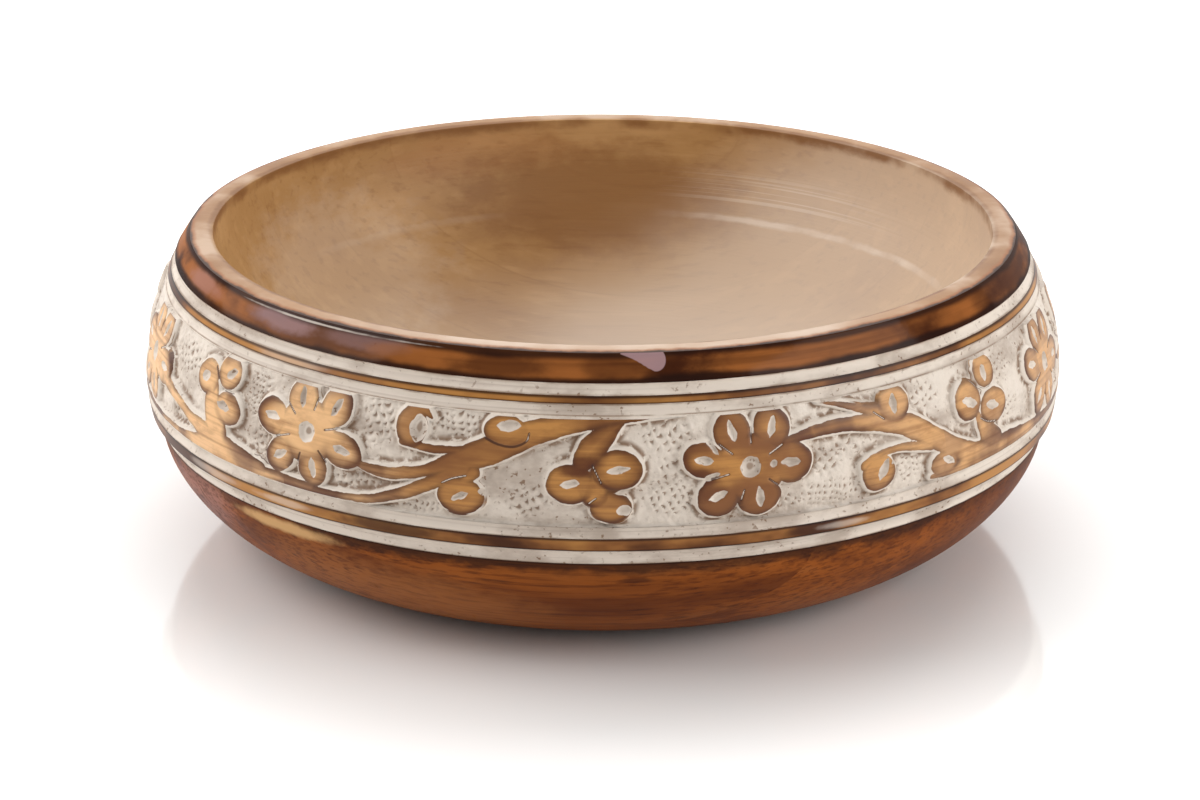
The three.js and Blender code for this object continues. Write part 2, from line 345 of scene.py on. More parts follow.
STANDING_VINE = {
    "strands": [
        [(4.5, 75.6, 3), (9, 77.3, 4.4), (13, 77.4, 5), (17.5, 75.8, 6.4), (21.5, 72.6, 8), (25.5, 66.4, 7.6),
         (29.5, 60, 8), (34, 57, 6.6), (40, 56.1, 6.4), (46, 55, 4.6), (54, 54.4, 3)],
        [(9, 85, 0.8), (12, 83.3, 2.2), (15.5, 80.4, 3.6), (19.5, 77, 6)], [(18.8, 76.5, 5.5), (19.6, 80, 4)],
        [(14.5, 64, 4), (16.5, 66.6, 2.8), (20, 67, 3), (24.5, 65, 4)],
        [(33.2, 69, 3), (33.8, 65.5, 5), (35, 61.5, 8), (37, 58, 8)],
        [(24.5, 54.6, 2), (30, 54.6, 4), (40, 54.4, 3)]],
    "buds": [
        (19.6, 80.3, 6.5, 5.4), (16.4, 60.8, 6.6, 5.9), (26.9, 58.1, 6.8, 4.4), (31.8, 73.9, 6.8, 6.3),
        (36, 80.5, 6.1, 5.3), (36.8, 69.5, 7.9, 5.7)],
    "cuts": [
        (19.5, 80.2, 6.2, 3.1, 88), (17.1, 61.6, 7.4, 3.4, 62), (18.9, 63.8, 4.5, 1.8, 30),
        (27.4, 58.4, 6.4, 2.4, -28), (32.1, 73.4, 8.2, 3.2, -20), (35.9, 80.2, 5.6, 2.9, 85),
        (36.5, 69.7, 7.8, 3, -15), (11.2, 71.9, 5, 1.2, 30), (-4.4, 76, 6, 1.7, -52),
        (-4.6, 67.3, 6.4, 1.8, 18), (2.7, 69.6, 2.6, 2.2, 0)],
    "lines": [
        [(32.8, 80), (34, 77), (35.2, 75.4)], [(35.2, 75.3), (37, 75.7), (38.5, 75.2)],
        [(33.8, 67.3), (35.2, 65.3), (37, 64.2)], [(16.4, 79.3), (17.8, 76.6)]],
    "gouged": [
        (10.5, 57.5, 15, 5, -8, 2.2), (9, 67.5, 9, 5, -50, 2.9), (21.5, 60, 7, 5.5, -80, 2.2),
        (25, 79.5, 8, 5, -60, 3), (41, 79, 8, 6, -65, 2.6), (41.5, 65, 8, 5, -60, 2.4),
        (13, 71.5, 8, 3.5, -30, 3.2), (4.5, 57, 5, 3, -20, 2.6)],
}
CLOSING_VINE = {
    "strands": [
        [(4, 69, 4), (7.5, 66.3, 4.5), (11.5, 64, 4.2), (15.5, 61.2, 5), (20, 58.5, 9), (25, 57, 8),
         (30, 55.2, 6)],
        [(-2, 54, 3), (10, 54, 2.6), (15.5, 54.8, 4.6), (20, 56, 8), (26, 55.6, 7), (30, 54.8, 5),
         (38, 54.4, 4)],
        [(19.5, 74, 8), (20, 69, 10), (21, 64, 12), (21.5, 59, 12)]],
    "buds": [
        (18.1, 76.7, 6.6, 5.7), (22.4, 80.6, 6.4, 5.4), (23.2, 69.9, 7.2, 5.4)],
    "cuts": [
        (17.6, 76.5, 5.4, 3.4, 10), (22.9, 80.5, 6.2, 3, 30), (22.3, 70.3, 7.6, 3, -6)],
    "lines": [
        [(19.4, 80.6), (20.4, 77.6)], [(21.6, 75), (24, 75.3)]],
    "gouged": [
        (28, 77, 7, 9, -80, 1.9), (11, 78, 12, 6, -60, 3), (29.5, 63.5, 6, 5.5, -60, 2.6),
        (10.5, 59, 9, 3, 10, 2.8)],
}
FRIEZE_UNITS = [
    (-73.5, 71, PETALS_PLAIN, CLOSING_VINE),
    (-36.5, 71.5, PETALS_FIRST, HANGING_VINE),
    (17, 69.2, PETALS_SECOND, STANDING_VINE),
    (70.5, 70.5, PETALS_PLAIN, HANGING_VINE),
    (124, 70, PETALS_PLAIN, STANDING_VINE),
    (177.5, 70.5, PETALS_PLAIN, HANGING_VINE),
    (231.5, 70, PETALS_PLAIN, STANDING_VINE),
]
# In millimetres: half sizes of the disc in a flower's middle, radius of its dimple, and length and width of the
# slit in a petal. The line between two petals runs from a reach in millimetres to a share of their reach.
DISC, DIMPLE, SLIT, PETAL_LINE = (11.6, 10), 3.2, (6.8, 2.6), (7, 0.9)
# The pale pinkish teardrop mark on the rim: place round the lip, height and width in millimetres.
PALE_TEARDROP = [(5.4, 101.9, 0.3), (10, 101.3, 2.4), (15.6, 100.2, 6)]
CARVED = ("motif_edge", "cut_edge", "line_edge", "gouged", "tip")


def turned(x, y, turn):
    """Coordinates along and across a direction in degrees."""
    c, s = math.cos(math.radians(turn)), math.sin(math.radians(turn))
    return x * c + y * s, y * c - x * s


def oval(x, y, turn, half_length, half_width):
    """Distance outside an oval about the origin, negative inside it."""
    u, v = turned(x, y, turn)
    u, v = u / half_length, v / half_width
    near = np.hypot(u, v)
    steep = np.hypot(u / half_length, v / half_width) + 1e-6
    return near * (near - 1) / steep


def lens(x, y, turn, long, wide):
    """Distance outside a lens about the origin, with its tips along the turn."""
    radius = (long * long + wide * wide) / (4 * wide)
    u, v = turned(x, y, turn)
    return np.hypot(u, np.abs(v) + radius - wide / 2) - radius


def smooth_path(points):
    """A curve through the points, four steps to each span."""
    p = np.array([points[0], *points, points[-1]], float)
    path = [p[1]]
    for a, b, c, d in zip(p, p[1:], p[2:], p[3:]):
        for t in (0.25, 0.5, 0.75, 1):
            path.append(0.5 * (2 * b + (c - a) * t + (2 * a - 5 * b + 4 * c - d) * t ** 2
                               + (3 * b - a - 3 * c + d) * t ** 3))
    return path


def strand(x, y, points):
    """Distance outside a strand that runs through points of place and width."""
    nearest = np.full_like(x, FAR_AWAY)
    path = smooth_path(points)
    for a, b in zip(path, path[1:]):
        run = b[:2] - a[:2]
        t = np.clip(((x - a[0]) * run[0] + (y - a[1]) * run[1]) / (run @ run + 1e-9), 0, 1)
        gap = np.hypot(x - a[0] - t * run[0], y - a[1] - t * run[1])
        nearest = np.minimum(nearest, gap - (a[2] + t * (b[2] - a[2])) / 2)
    return nearest


def ripple(x, y, wave, seed):
    """A smooth uneven field between -1 and 1 with the given wavelength."""
    total = np.zeros_like(x)
    for i in range(6):
        heading = seed * 1.7 + i * 2.4
        pace = 2 * math.pi / wave * (0.75 + 0.13 * i)
        total += np.sin(pace * (x * math.cos(heading) + y * math.sin(heading)) + seed * 5.1 + i * i)
    return total / 3.2


def ease(value, low, high):
    """Smooth rise from 0 at low to 1 at high."""
    t = np.clip((value - low) / (high - low), 0, 1)
    return t * t * (3 - 2 * t)


def scallops(x, y, turn, pitch):
    """Depth, from 0 to 1, of rows of overlapping gouge marks, each steep at its rounded end."""
    x, y = x + 0.6 * ripple(x, y, 7, 3), y + 0.6 * ripple(x, y, 8, 4)
    along, across = turned(x, y, turn)
    along, across = along / (pitch * 0.85), across / (pitch * 0.9)
    rank = np.floor(across)
    v = across - rank - 0.5
    u = np.mod(along + 0.5 * np.mod(rank, 2) + 0.37 * np.sin(rank * 2.1) + 1.5 * v * v, 1)
    return ease(u, 0, 0.14) * (1 - u) ** 0.8 * np.clip(1 - 3.4 * v * v, 0, 1)


def at(way, reach, height):
    """Place on the drawing of a point at a direction and reach from a flower's middle."""
    return reach * math.cos(math.radians(way)), height + reach * math.sin(math.radians(way))


def draw(azimuths, heights, degree):
    """Fields of the points of the frieze in the order of CARVED: three distances in millimetres, two masks."""
    fields = np.repeat([[FAR_AWAY]] * 3 + [[0.0]] * 2, len(heights), axis=1)
    for start, height, petals, vine in FRIEZE_UNITS:
        turn = np.mod(azimuths - start + 60, 360) - 60
        here = turn < 70
        x, y = turn[here] * degree, heights[here]
        edge, cut, line, gouged, tip = fields[:, here]
        away = np.hypot(x, y - height)
        tip = np.maximum(tip, ease(away, 10, 19) * (1 - ease(away, 21, 25)))
        edge = np.minimum(edge, oval(x, y - height, 0, *DISC))
        cut = np.minimum(cut, away - DIMPLE)
        for way, reach, half_length, half_width, slit in petals:
            px, py = at(way, reach, height)
            edge = np.minimum(edge, oval(x - px, y - py, way, half_length, half_width))
            cut = np.minimum(cut, lens(x - px, y - py, slit, *SLIT))
        for (a, reach_a, *_), (b, reach_b, *_) in zip(petals, petals[1:] + petals[:1]):
            middle = (a + (b - a + 180) % 360 - 180 + a) / 2
            ends = PETAL_LINE[0], PETAL_LINE[1] * (reach_a + reach_b) / 2
            line = np.minimum(line, strand(x, y, [(*at(middle, reach, height), 0) for reach in ends]))
        for points in vine["strands"]:
            edge = np.minimum(edge, strand(x, y, [(a * degree, z, w) for a, z, w in points]))
        for a, z, wide, high in vine["buds"]:
            bud = oval(x - a * degree, y - z, 0, wide, high)
            edge = np.minimum(edge, bud)
            tip = np.maximum(tip, ease(bud, -4, 0) * ease(-bud, -0.5, 0.5) * ease(z - y, -3, 4))
        for a, z, long, wide, way in vine["cuts"]:
            cut = np.minimum(cut, lens(x - a * degree, y - z, way, long, wide))
        for points in vine["lines"]:
            line = np.minimum(line, strand(x, y, [(a * degree, z, 0) for a, z in points]))
        for a, z, wide, high, way, pitch in vine["gouged"]:
            inside = 1 - ease(np.hypot((x - a * degree) / wide, (y - z) / high), 0.6, 1.15)
            gouged = np.maximum(gouged, inside * scallops(x, y, way, pitch))
        fields[:, here] = edge, cut, line, gouged, tip
    return fields


def write_attribute(mesh, name, values):
    """Keep one number for each vertex, for the materials to read."""
    mesh.attributes.new(name, "FLOAT", "POINT").data.foreach_set("value", values.astype(np.float32))


class BOWL_OT_carve(bpy.types.Operator):
    """Carve the frieze: the ground, the slits and the gouge marks are cut into the turned skin"""

    bl_idname = "bowl.carve"
    bl_label = "Carve the frieze"

    def execute(self, context):
        size, carving = context.scene.bowl_turning, context.scene.bowl_carving
        mesh = bpy.data.objects["turned_bowl"].data
        points = read_points(mesh)
        foot, top = band_edges(size)[3:5]
        radius, z = polar(points), points[:, 2]
        clear = size.row * 0.4
        frieze = (z > foot + clear) & (z < top - clear) & (radius > size.lip_radius)
        azimuth = np.degrees(np.arctan2(points[frieze, 0], -points[frieze, 1]))
        height = z[frieze] / MM
        degree = math.radians(size.belly_radius / MM)
        fields = draw(azimuth, height, degree)
        edge, cut, line, gouged, _ = fields
        # The ripples leave lines and surfaces as uneven as a hand does: height and length of the waves in mm.
        x = azimuth * degree
        edge += 0.13 * ripple(x, height, 8, 1)
        cut += 0.18 * ripple(x, height, 3, 5)
        wall = ease(edge, 0, carving.wall / MM)
        ground = carving.relief / MM - 0.3 * ease(edge, 1.5, 7)
        ground += 0.16 * ripple(x, height, 10, 6) + 0.1 * ripple(x, height, 3.4, 8)
        ground += carving.gouge / MM * gouged * ease(edge, 0.5, 1.6)
        tops = carving.rounding / MM * ease(edge, -0.9, 0.2) + 0.06 * ripple(x, height, 12, 7)
        depth = tops * (1 - wall) + ground * wall
        depth += carving.cut / MM * ease(-cut, -0.15, 1.15) * (1 - wall)
        depth += carving.line / MM * (1 - ease(line, 0.05, 0.5)) * (1 - wall)
        depth = np.maximum(depth, 0) * MM
        points[frieze, :2] *= ((radius[frieze] - depth) / radius[frieze])[:, None]
        mesh.vertices.foreach_set("co", points.ravel())
        mesh.update()
        for name, values in zip(CARVED, fields):
            everywhere = np.full(len(z), 0.0 if name in ("gouged", "tip") else FAR_AWAY)
            everywhere[frieze] = values
            write_attribute(mesh, name, everywhere)
        around = np.arctan2(points[:, 0], -points[:, 1]) * size.lip_radius / MM
        write_attribute(mesh, "teardrop_edge", strand(around, z / MM, PALE_TEARDROP))
        return {"FINISHED"}


def add(material, kind, inputs=(), out=0, **settings):
    """Add one shader node with its settings and with values or links for its inputs, and return an output."""
    node = material.node_tree.nodes.new("ShaderNode" + kind)
    for name, value in settings.items():
        setattr(node, name, value)
    for name, value in inputs.items() if isinstance(inputs, dict) else enumerate(inputs):
        if isinstance(value, bpy.types.NodeSocket):
            material.node_tree.links.new(value, node.inputs[name])
        else:
            node.inputs[name].default_value = value
    return node.outputs[out]


def on_skin(azimuth, z):
    """Place on the outside, in millimetres, at an azimuth in degrees and a height in millimetres."""
    radius, turn = skin_radius(z * MM, bpy.context.scene.bowl_turning) / MM, math.radians(azimuth)
    return Vector((radius * math.sin(turn), -radius * math.cos(turn), z))


GLOSS = ("Roughness", "Coat Weight", "Coat Roughness", "Specular IOR Level")


class Finish:
    """A wood material and what all of them share: the boards, the turning and the place, in millimetres."""

    def __init__(self, name, *gloss):
        self.material = bpy.data.materials.new(name)
        self.material.use_nodes = True
        self.shader = self.material.node_tree.nodes["Principled BSDF"]
        for socket, value in zip(GLOSS, gloss):
            self.shader.inputs[socket].default_value = value
        self.add = partial(add, self.material)
        boards, size = bpy.context.scene.bowl_boards, bpy.context.scene.bowl_turning
        self.edges = [edge / MM for edge in band_edges(size)]
        self.lip = size.lip_radius / MM
        self.hollow = (size.lip_radius - size.lip_width) / MM
        thickness = 2 * size.belly_radius / boards.count
        metres = self.add("TexCoord", out="Object")
        self.place = self.add("VectorMath", {0: metres, "Scale": 1 / MM}, operation="SCALE")
        self.x, self.y, self.z = self.add("SeparateXYZ", [self.place]).node.outputs
        flat = self.add("CombineXYZ", [self.x, self.y])
        self.radius = self.add("VectorMath", [flat], "Value", operation="LENGTH")
        self.travel = self.add("Math", [self.radius, self.z], operation="ADD")
        turned = self.add("Mapping", {"Vector": self.place, "Rotation": (0, 0, boards.turn)})
        across = self.add("SeparateXYZ", [turned], 1)
        start = (size.belly_radius - boards.offset) / thickness
        count = self.add("Math", [across, MM / thickness, start], operation="MULTIPLY_ADD")
        number = self.add("Math", [count], operation="FLOOR")
        chance = self.add("TexWhiteNoise", {"W": number}, "Color", noise_dimensions="1D")
        jump = self.add("VectorMath", {0: chance, "Scale": 600}, operation="SCALE")
        self.seam = self.add("Math", [count, 0.5], operation="PINGPONG")
        self.grain = self.add("VectorMath", [turned, jump], operation="ADD")
        self.blur = self.field((11.11, 11.11, 6.25), 4, 0.6)

    def field(self, size, detail=3.0, roughness=0.5, over=None):
        """Uneven field, about 0.5, with spots of a size in millimetres, one for all directions or one for each."""
        sizes = size if isinstance(size, tuple) else (size, size, size)
        scaled = self.add("VectorMath", [over or self.place, sizes], operation="DIVIDE")
        return self.add("TexNoise", {"Vector": scaled, "Scale": 1, "Detail": detail, "Roughness": roughness})

    def lines(self, pitch, detail=2.0):
        """Uneven field of fine lines that run round the bowl, at a pitch in millimetres."""
        at = self.add("CombineXYZ", [self.x, self.y, self.travel])
        return self.field((142.9, 142.9, pitch), detail, over=at)

    def where(self, *parts):
        """Mask from 0 to 1: the product of masks, numbers and ramps.

        A ramp is a field, the values at which the mask is 0 and 1, and for an uneven ramp a field and a reach:
        the field times the reach is added to the ramp's own field first.
        """
        mask = None
        for part in parts:
            if isinstance(part, tuple):
                field, none, full, *uneven = part
                if uneven:
                    field = self.add("Math", [*uneven, field], operation="MULTIPLY_ADD")
                ends = [none, full, 0, 1] if full > none else [full, none, 1, 0]
                part = self.add("MapRange", [field, *ends], interpolation_type="SMOOTHSTEP")
            mask = part if mask is None else self.add("Math", [mask, part], operation="MULTIPLY")
        return mask

    def spot(self, middle, reach):
        """Mask of an oval spot about a place, with its half lengths, its edge made uneven."""
        moved = self.add("VectorMath", [self.place, middle], operation="SUBTRACT")
        scaled = self.add("VectorMath", [moved, reach], operation="DIVIDE")
        away = self.add("VectorMath", [scaled], "Value", operation="LENGTH")
        return self.where((away, 1.9, 1.1, self.blur, 1.2))

    def borders(self, foot, top, past, upper, lower):
        """Mask of both edges of a band, each from a pair of distances inside it, and of nothing past the band."""
        above = self.where((self.z, top - upper[0], top - upper[1]))
        below = self.where((self.z, foot + lower[0], foot + lower[1]))
        either = self.add("Math", [above, below], operation="MAXIMUM")
        return self.where(either, (self.z, foot - past, foot - past + 0.1), (self.z, top + past, top + past - 0.1))

    def coats(self, shown, *coats):
        """Lay coats over a colour: each is a colour, its greatest share and the parts of its mask."""
        for over, most, *parts in coats:
            mask = self.where(*parts, most)
            shown = self.add("Mix", {0: mask, 6: shown, 7: over}, 2, data_type="RGBA")
        return shown

    def stains(self, shown, *spots):
        """Lay soft spots on the outside: colour, share, azimuth in degrees, height, half width and half height."""
        for over, most, azimuth, z, wide, high in spots:
            shown = self.coats(shown, (over, most, self.spot(on_skin(azimuth, z), (wide, wide, high))))
        return shown

    def done(self, shown, *heights):
        """Give the shader its colour and its bumps, each a field and a depth, and return the material."""
        normal = None
        for field, depth in heights:
            inputs = {"Height": field, "Distance": depth * MM, "Strength": 1.0}
            if normal:
                inputs["Normal"] = normal
            normal = self.add("Bump", inputs)
        for source, socket in ((shown, "Base Color"), (normal, "Normal"), (normal, "Coat Normal")):
            self.material.node_tree.links.new(source, self.shader.inputs[socket])
        return self.material


def inside_finish(c):
    """Pale plain hardwood, turned, sanded and satin lacquered: warm tan with soft figure and turning lines."""
    w = Finish("Pale hardwood under satin lacquer", 0.5, 0.08, 0.35, 0.25)
    figure = w.field((125, 50, 38.46), 5)
    streaks = w.field((45.45, 2.381, 2.381))
    grain = w.field((71.43, 5.556, 5.556), over=w.grain)
    blotches = w.field(29.41, 4)
    rings = w.lines(1)
    lean = w.add("VectorMath", [w.place, (0.9, -0.5, -0.9)], "Value", operation="DOT_PRODUCT")
    shown = w.coats(
        c.pale_wood,
        (c.dark_figure_and_shade, 0.4, (figure, 0.5, 0.78)),
        (c.light_figure, 0.7, (figure, 0.5, 0.3)),
        (c.dark_figure_and_shade, 0.3, (streaks, 0.52, 0.72)),
        (c.light_figure, 0.3, (grain, 0.52, 0.7)),
        (c.dark_figure_and_shade, 0.2, (w.seam, 0.016, 0.004), (figure, 0.4, 0.6)),
        (c.stain_amber, 0.25, w.spot((-45, 118, 92), (46, 24, 8))),
        # Painted shade: a darker patch on the back wall of the hollow.
        (c.dark_figure_and_shade, 0.64, w.spot((-4, 120, 74), (58, 32, 20))),
        # Painted sheen: a pale veil over the right wall, the left back wall and the lower hollow.
        (c.pale_blotch_and_sheen, 0.36, (lean, -84, -12, w.field((71.43, 71.43, 50), 5), 70)),
        (c.pale_blotch_and_sheen, 0.16, w.spot((-92, 62, 60), (45, 45, 30))),
        (c.pale_blotch_and_sheen, 0.25, (w.z, 62, 30)))
    # Painted highlight: a pale arc along a turned ridge on both walls, then fine pale lines along the turning on
    # the right wall.
    right = w.where((w.x, 15, 60), (w.y, 20, 50))
    left = w.where((w.x, -30, -55), (w.y, 55, 80), 0.15)
    either = w.add("Math", [right, left], operation="MAXIMUM")
    arc = w.where((w.z, 69.6, 71, w.blur, 2), (w.z, 72.8, 71.6, w.blur, 2), (w.field(16.67), 0.2, 0.6))
    shown = w.coats(
        shown,
        (c.pale_blotch_and_sheen, 0.42, arc, either),
        (c.pale_blotch_and_sheen, 0.25, (w.z, 73, 77), (w.z, 87, 82), right, (rings, 0.52, 0.62), (w.x, 110, 70)))
    # On the lip: pale and dark blotches, then painted shade towards both sides and painted light at the front.
    aside = w.add("Math", [w.x, w.x], operation="MULTIPLY")
    lip = w.coats(
        c.lip_wood,
        (c.pale_blotch_and_sheen, 0.25, (blotches, 0.46, 0.66)),
        (c.dark_figure_and_shade, 0.35, (blotches, 0.5, 0.34)),
        (c.dark_figure_and_shade, 0.45, (aside, 85 ** 2, 125 ** 2), (blotches, 0.7, 0.4)),
        (c.pale_blotch_and_sheen, 0.25, (w.y, -90, -125)))
    line = w.where((w.z, 100, 103.5, w.blur, 5), (w.radius, w.hollow + 4, w.hollow + 2.4, w.blur, 3.2))
    shown = w.coats(
        shown,
        (lip, 1, (w.radius, w.hollow, w.hollow + 1.6)),
        (c.dark_figure_and_shade, 0.85, line, (blotches, 0.64, 0.44)),
        (c.stain_amber, 0.8, (w.radius, w.lip - 0.8, w.lip + 0.6, w.blur, 3.2)),
        (c.scorch, 0.9, (w.radius, w.lip + 0.3, w.lip + 1.3, w.blur, 3.2)))
    return w.done(shown, (rings, 0.05), (w.field((16.67, 1.111, 1.111)), 0.03))


def rim_finish(c):
    """Hardwood stained dark, rubbed amber and scorched at both edges under gloss lacquer."""
    w = Finish("Scorched hardwood under gloss lacquer", 0.45, 0.15, 0.1, 0)
    foot, top = w.edges[7:9]
    patches = w.field((38.46, 38.46, 16.67), 4)
    # The pale spots at -66, -45 and -31 degrees are painted haze of the lacquer.
    shown = w.stains(
        w.coats(c.stain_dark, (c.stain_amber, 1, (patches, 0.36, 0.6))),
        (c.stain_dark, 0.7, -38, 98.5, 33, 5), (c.stain_amber, 1, -67, 98, 26, 3.4),
        (c.pale_mark, 0.3, -66, 98.6, 14, 3), (c.pale_mark, 0.5, -45, 99.3, 15, 3), (c.pale_mark, 0.25, -31, 99.4, 18, 2.4),
        (c.stain_amber, 0.6, -25, 98.2, 14, 2.4), (c.stain_dark, 0.7, -13, 98.2, 14, 4),
        (c.stain_dark, 0.5, 1, 98.4, 9, 4), (c.stain_amber, 1, 20, 98, 20, 3.6),
        (c.stain_amber, 0.7, 35, 98, 16, 2.8), (c.stain_amber, 0.6, 53.5, 98, 15, 3.2),
        (c.scorch, 0.4, 59, 98, 7, 4), (c.stain_dark, 0.85, 71, 98, 24, 4))
    pale_mark = w.add("Attribute", out="Fac", attribute_name="teardrop_edge")
    shown = w.coats(
        shown,
        (c.stain_dark, 0.6, (w.lines(1.6, 4), 0.48, 0.66)),
        (c.scorch, 0.92, (w.z, foot + 4.4, foot + 2.8, patches, 4.4)),
        (c.scorch, 0.88, (w.z, top, top + 1.6, patches, 4.4)),
        (c.pale_mark, 0.8, (pale_mark, 0.15, -0.15), (w.y, 0, -50)),
        # Painted highlight: a broken glint along the top of the rim band.
        (c.pale_blotch_and_sheen, 0.55, w.spot(on_skin(-38, 101.1), (34, 34, 0.3)), (patches, 0.4, 0.5)))
    return w.done(shown, (w.lines(2.2), 0.04), (w.field(6.25), 0.06))


def fillet_finish(c):
    """Fillets rubbed golden and stained dark by turns, with burnt lines along both edges."""
    w = Finish("Stained hardwood fillet under lacquer", 0.4, 0.12, 0.2, 0.1)
    patches = w.field((38.46, 38.46, 16.67), 4)
    shown = w.stains(
        w.coats(c.motif_dark, (c.motif, 0.8, (patches, 0.42, 0.64)), (c.stain_dark, 0.9, (patches, 0.5, 0.34))),
        (c.stain_dark, 0.8, -25, 46.8, 16, 2.4), (c.stain_dark, 0.8, 25, 46.8, 9, 2.4),
        # The pale spots are painted highlights on both fillets.
        (c.pale_blotch_and_sheen, 0.35, -40, 46.8, 12, 1.2), (c.pale_blotch_and_sheen, 0.35, 29, 46.8, 8, 1.2), (c.pale_blotch_and_sheen, 0.35, -54, 46.8, 14, 1.6),
        (c.stain_dark, 0.45, 0, 89.7, 18, 2.4), (c.pale_blotch_and_sheen, 0.25, -42, 89.7, 16, 1.6))
    for band in (1, 5):
        shown = w.coats(shown, (c.scorch, 0.85, w.borders(*w.edges[band:band + 2], 2, (1, 0.3), (0.6, 0.15))))
    return w.done(shown, (w.lines(0.9), 0.04))


def lime_layers(w, c):
    """Colours of lime wash brushed on: nearly white, grey where thin, with brown specks."""
    thin = w.field((22.22, 22.22, 11.11), 5, 0.6)
    specks = w.field(1.613, 2)
    return w.coats(c.lime, (c.lime_grey, 0.8, (thin, 0.44, 0.68)),
                   (c.bare_wood_and_shade, 0.85, (specks, 0.62, 0.7), (thin, 0.38, 0.6)))


def lime_finish(c):
    """Lime wash in the turned grooves: matt, nearly white, rubbed thin along the turning and at its edges."""
    w = Finish("Lime wash in turned grooves", 0.6, 0.15, 0.4, 0.3)
    lines = w.lines(0.9)
    shown = w.coats(lime_layers(w, c), (c.lime_grey, 0.5, (lines, 0.52, 0.7)))
    for band in (0, 2, 4, 6):
        worn = w.borders(*w.edges[band:band + 2], 0.7, (0.75, 0.15), (0.5, 0.1))
        shown = w.coats(shown, (c.bare_wood_and_shade, 0.75, worn, (w.blur, 0.3, 0.6)))
    return w.done(shown, (lines, 0.06), (w.field(3.333), 0.05))


def frieze_finish(c):
    """Relief carving: lacquered tan tops with burnt edges over a gouged, lime-washed ground."""
    w = Finish("Relief carving, stained tops and limed ground", 0.48, 0.25, 0.3, 0.25)
    edge, cut, line, gouged, tip = [w.add("Attribute", out="Fac", attribute_name=name) for name in CARVED]
    places = w.field(26.32)
    figure = w.field((71.43, 16.67, 16.67), 4, over=w.grain)
    streaks = w.lines(1.1, 4)
    fine = w.field(2.381)
    mottle = w.field((11.11, 11.11, 3.846), 4, 0.6)
    # Painted light: the tops grow lighter towards both sides, and on the flower at -35 degrees.
    sides = w.add("Math", [w.where((w.x, -50, -80)), w.where((w.x, 60, 95), 0.5)], operation="MAXIMUM")
    top = w.coats(
        c.motif_dark,
        (c.motif, 1, (figure, 0.36, 0.56)),
        (c.motif_dark, 0.5, (streaks, 0.42, 0.66)),
        (c.motif_painted_light, 0.95, sides, (figure, 0.85, 0.5), (streaks, 0.9, 0.4)),
        (c.motif_dark, 0.35, (mottle, 0.46, 0.66)))
    top = w.stains(
        top,
        (c.stain_red, 0.6, -45, 57, 12, 3), (c.stain_red, 0.85, -2.5, 71.5, 6, 3.5),
        (c.stain_red, 0.6, 7, 81, 10, 2), (c.stain_red, 0.85, 11.2, 67.3, 5, 3),
        (c.stain_red, 0.6, 29, 74.5, 10, 3), (c.stain_red, 0.6, 56, 60, 14, 4),
        (c.stain_red, 0.55, 12.2, 63, 5, 3.5), (c.motif_painted_light, 0.5, -35, 71, 9, 9))
    burnt = w.add("Math", [tip, w.where((places, 0.48, 0.6), 0.8)], operation="MAXIMUM")
    top = w.coats(
        top,
        (c.stain_red, 0.9, burnt, (edge, -5.2, -0.8), (figure, 0.3, 0.5)),
        (c.stain_dark, 0.65, (edge, -2.0, -0.1), (mottle, 0.3, 0.5)))
    # Ground: browner near the relief, both bare wood specks and painted shade at the foot of the walls; painted
    # shade in the gouge hollows.
    ground = w.coats(
        lime_layers(w, c),
        (c.bare_wood_and_shade, 0.9, (edge, 0.4, 0.9), (edge, 2.8, 1.1), (fine, 0.38, 0.54), (places, 0.32, 0.52)),
        (c.bare_wood_and_shade, 0.8, (gouged, 0.42, 0.76), (edge, 0.3, 1.2), (fine, 0.26, 0.46)))
    # Painted shade in the deepest middle of each dimple.
    dimple = w.coats(ground, (c.bare_wood_and_shade, 0.7, (cut, -1.7, -2.5)))
    stretch = w.where((w.field(33.33, 2), 0.52, 0.62))
    reach = w.add("Math", [stretch, -0.8, edge], operation="MULTIPLY_ADD")
    outline = w.where((edge, -0.02, 0.14, fine, 0.8), (edge, 0.9, 0.7, fine, 0.8))
    on_top = (edge, 0.1, -0.1)
    shown = w.coats(
        top,
        (ground, 1, (reach, 0, 0.14, fine, 0.7)),
        (c.lime, 1, outline, (w.field(14.29, 2), 0.4, 0.46)),
        (dimple, 1, (cut, 0.48, 0.3, fine, 0.8), (edge, 0.3, 0)),
        (c.stain_dark, 0.8, (line, 0.45, 0.25), on_top),
        (c.lime, 1, (line, 0.22, 0.12), on_top, (w.field(16.67, 2), 0.4, 0.46)))
    return w.done(shown, (w.where(fine, (edge, 0, 0.6)), 0.6), (streaks, 0.06))


